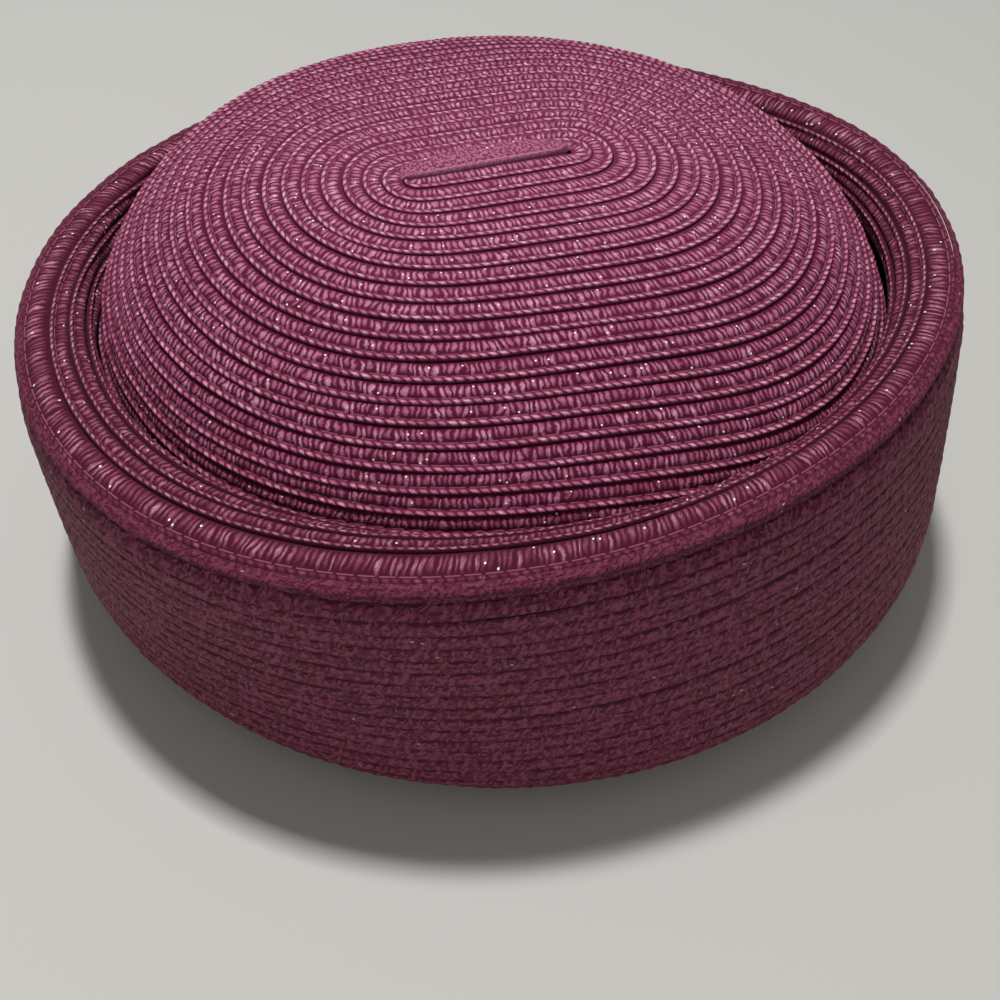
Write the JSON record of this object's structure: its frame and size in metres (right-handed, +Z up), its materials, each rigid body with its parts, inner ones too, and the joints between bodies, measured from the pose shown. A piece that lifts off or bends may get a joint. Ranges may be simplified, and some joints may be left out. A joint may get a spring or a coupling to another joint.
{
  "type": "sun hat",
  "caption": "Sewn straw braid sun hat: domed oval crown with a wide brim turned up all round as a tall cuff with a rolled edge.",
  "frame": {"origin": "on the surface that the hat rests on, under the middle of the whole hat's bounding box", "axes": "+Z up through the crown, +X along the slit on top of the crown, towards its folded end"},
  "size_m": [0.2528, 0.2392, 0.1172],
  "materials": {
    "crown_straw": "plum paper-straw braid with a sparse metallic thread",
    "brim_straw": "reverse of the same plum braid, flatter and darker",
    "edge_straw": "plum paper-straw braid, rolled edge"
  },
  "bodies": {
    "root": {"crown": "crown_straw", "crown_start": "crown_straw", "brim": "brim_straw", "brim_edge": "edge_straw"}
  },
  "joints": []
}
